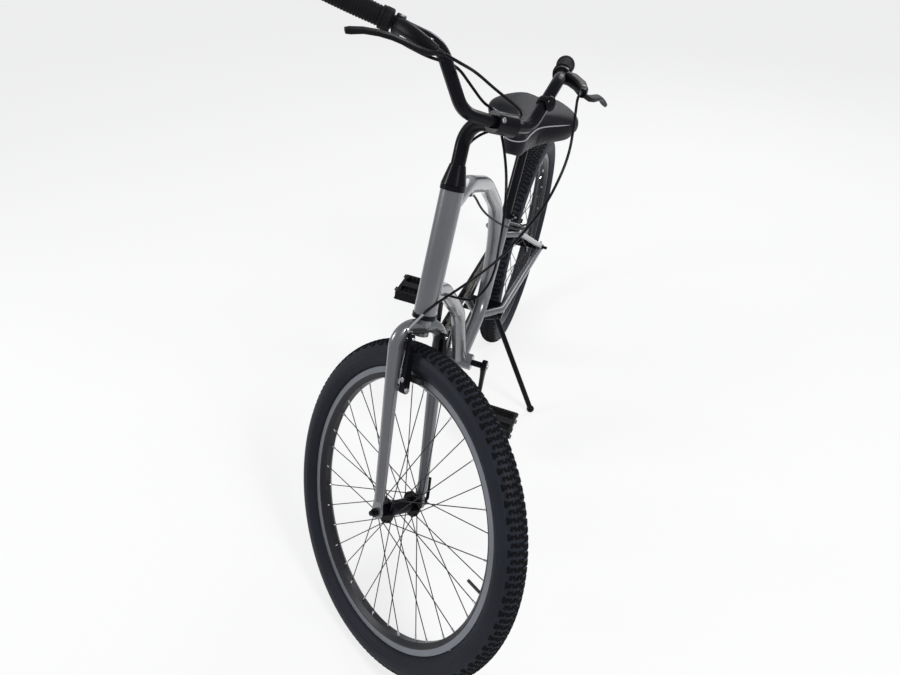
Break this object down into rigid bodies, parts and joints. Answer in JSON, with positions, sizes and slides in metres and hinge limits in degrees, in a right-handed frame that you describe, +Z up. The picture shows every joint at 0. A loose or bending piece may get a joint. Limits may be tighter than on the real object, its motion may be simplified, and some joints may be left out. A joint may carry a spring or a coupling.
{
  "type": "cruiser bicycle",
  "caption": "Cruiser bicycle with swept arch frame, wide saddle and swept bar, leaning on its side stand, with turning wheels, steering, crank, pedals and stand.",
  "frame": {"origin": "centre of the parked bicycle's footprint, on the ground", "axes": "+X towards the front of the bicycle, +Y to the rider's left, +Z up from the ground"},
  "size_m": [1.7281, 0.5864, 1.2736],
  "materials": {
    "frame_paint": "gloss silver-grey paint",
    "black_steel": "gloss black paint",
    "tyre_rubber": "matt black rubber",
    "rim_metal": "black anodised with bare brake track",
    "spoke_steel": "black steel wire",
    "bright_metal": "polished",
    "alloy": "satin",
    "grip_rubber": "matt",
    "saddle_vinyl": "satin black vinyl",
    "saddle_shell": "moulded",
    "black_plastic": "moulded",
    "chain_steel": "oiled",
    "cable_housing": "smooth black",
    "guard_paint": "gloss black",
    "pad_rubber": "matt"
  },
  "bodies": {
    "frame": {"head_tube": "frame_paint", "arch_tube": "frame_paint", "down_tube": "frame_paint", "bottom_bracket_shell": "frame_paint", "seat_tube": "frame_paint", "chain_stay_left": "frame_paint", "chain_stay_right": "frame_paint", "seat_stay_left": "frame_paint", "seat_stay_right": "frame_paint", "headset_cups": "black_steel", "seat_post": "black_steel", "seat_clamp": "bright_metal", "saddle_pad": "saddle_vinyl", "saddle_base": "saddle_shell", "chain_guard": "guard_paint", "chain": "chain_steel", "stand_bracket": "black_steel", "rear_axle": "bright_metal", "rear_brake_arms": "alloy", "rear_brake_pads": "pad_rubber", "rear_brake_noodle": "alloy", "saddle_rails": "black_steel", "rear_brake_cable": "cable_housing"},
    "fork": {"fork": "frame_paint", "headset_cover": "black_steel", "stem": "black_steel", "handlebar": "black_steel", "grip_left": "grip_rubber", "grip_right": "grip_rubber", "brake_lever_left": "black_plastic", "brake_lever_right": "black_plastic", "front_brake_arms": "alloy", "front_brake_pads": "pad_rubber", "front_brake_cable": "cable_housing", "steering_cables": "cable_housing", "front_brake_noodle": "alloy", "front_axle": "bright_metal", "twist_shifter": "black_plastic", "bell": "black_plastic"},
    "front_wheel": {"front_tyre": "tyre_rubber", "front_rim": "rim_metal", "front_spokes": "spoke_steel", "front_hub": "black_steel"},
    "rear_wheel": {"rear_tyre": "tyre_rubber", "rear_rim": "rim_metal", "rear_spokes": "spoke_steel", "rear_hub": "black_steel", "rear_sprocket": "chain_steel"},
    "crankset": {"chainring": "black_steel", "crank_left": "black_steel", "crank_right": "black_steel", "crank_spindle": "black_steel", "pedal_axles": "bright_metal"},
    "pedal_left": {"pedal_left": "black_plastic"},
    "pedal_right": {"pedal_right": "black_plastic"},
    "stand": {"side_stand": "black_steel"}
  },
  "joints": [
    {"name": "steering", "type": "hinge", "parent": "frame", "child": "fork", "pos_m": [0.4718, 0.00967, 0.68287], "axis": [-0.3464, 0.1304, 0.929], "range_deg": [-130, 20], "deforming": ["steering_cables"]},
    {"name": "front_wheel_spin", "type": "hinge", "parent": "fork", "child": "front_wheel", "pos_m": [0.63585, 0, 0.31912], "axis": [-0.7688, 0.5281, -0.3608], "continuous": true},
    {"name": "rear_wheel_spin", "type": "hinge", "parent": "frame", "child": "rear_wheel", "pos_m": [-0.52411, -0.03952, 0.33698], "axis": [-0.0006, 0.9903, -0.1392], "continuous": true},
    {"name": "crank_spin", "type": "hinge", "parent": "frame", "child": "crankset", "pos_m": [0.09574, -0.04439, 0.29978], "axis": [-0.0006, 0.9903, -0.1392], "continuous": true},
    {"name": "pedal_left_spin", "type": "hinge", "parent": "crankset", "child": "pedal_left", "pos_m": [0.09498, 0.05969, 0.11348], "axis": [-0.0006, 0.9903, -0.1392], "continuous": true},
    {"name": "pedal_right_spin", "type": "hinge", "parent": "crankset", "child": "pedal_right", "pos_m": [0.09651, -0.14848, 0.48607], "axis": [-0.0006, 0.9903, -0.1392], "continuous": true},
    {"name": "stand_fold", "type": "hinge", "parent": "frame", "child": "stand", "pos_m": [-0.13827, -0.01058, 0.297], "axis": [0.0009, 0.9781, 0.2079], "range_deg": [0, 88]}
  ]
}
